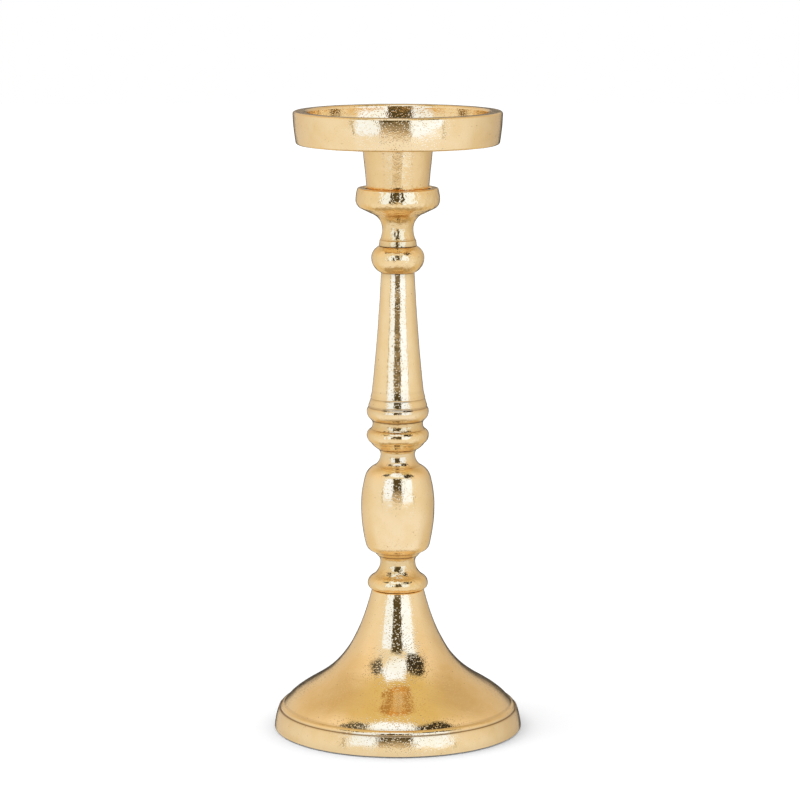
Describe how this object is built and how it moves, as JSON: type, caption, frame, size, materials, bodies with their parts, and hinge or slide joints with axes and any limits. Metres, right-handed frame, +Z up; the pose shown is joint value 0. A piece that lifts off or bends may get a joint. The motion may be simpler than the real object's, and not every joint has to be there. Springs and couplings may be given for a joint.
{
  "type": "pillar candle holder",
  "caption": "Tall candle holder for a pillar candle: a flat round dish on a tapered cup, a turned baluster stem of stacked castings and a hollow bell foot.",
  "frame": {"origin": "on the table, on the axis of the stem, under the felt ring", "axes": "+Z up along the stem; the holder is round, so +X and +Y are free"},
  "size_m": [0.1102, 0.1102, 0.275],
  "materials": {
    "gold_casting": "polished gold colour over a fine sand-cast skin",
    "steel": "bright zinc",
    "felt": "pressed felt"
  },
  "bodies": {
    "root": {"foot": "gold_casting", "felt_ring": "felt", "lower_knop": "gold_casting", "barrel": "gold_casting", "ring_knop": "gold_casting", "column": "gold_casting", "ball_knop": "gold_casting", "collar": "gold_casting", "candle_cup": "gold_casting", "dish": "gold_casting", "tie_rod": "steel", "crown_washer": "steel", "spring_washer": "steel", "rod_nut": "steel"}
  },
  "joints": []
}
